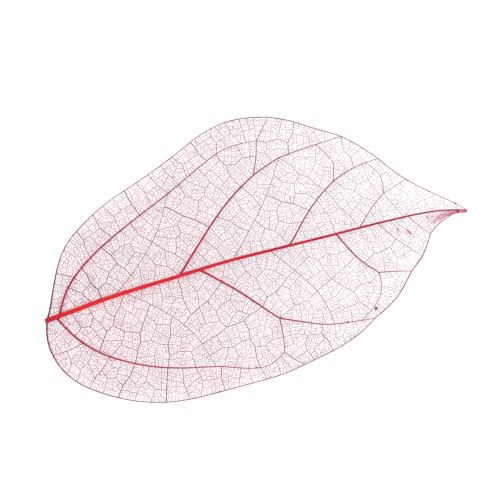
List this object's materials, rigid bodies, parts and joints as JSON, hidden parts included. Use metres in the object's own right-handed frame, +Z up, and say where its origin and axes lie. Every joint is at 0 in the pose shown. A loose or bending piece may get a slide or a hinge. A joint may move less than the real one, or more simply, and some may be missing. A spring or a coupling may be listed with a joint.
{
  "type": "skeleton leaf",
  "caption": "Dried leaf skeleton: midrib, looping lateral veins, marginal vein and open vein net, gently arched with a raised drip tip, lying flat.",
  "frame": {"origin": "underside of the stalk's cut end, on the flat where the base of the midrib rests on the surface", "axes": "+X from the stalk end to the leaf's tip, +Y across the blade, +Z up, away from the surface that the leaf lies on"},
  "size_m": [0.0925, 0.0548, 0.0043],
  "materials": {
    "dyed_fibre": "matte dyed plant fibre"
  },
  "bodies": {
    "root": {"skeleton_leaf": "dyed_fibre"}
  },
  "joints": []
}
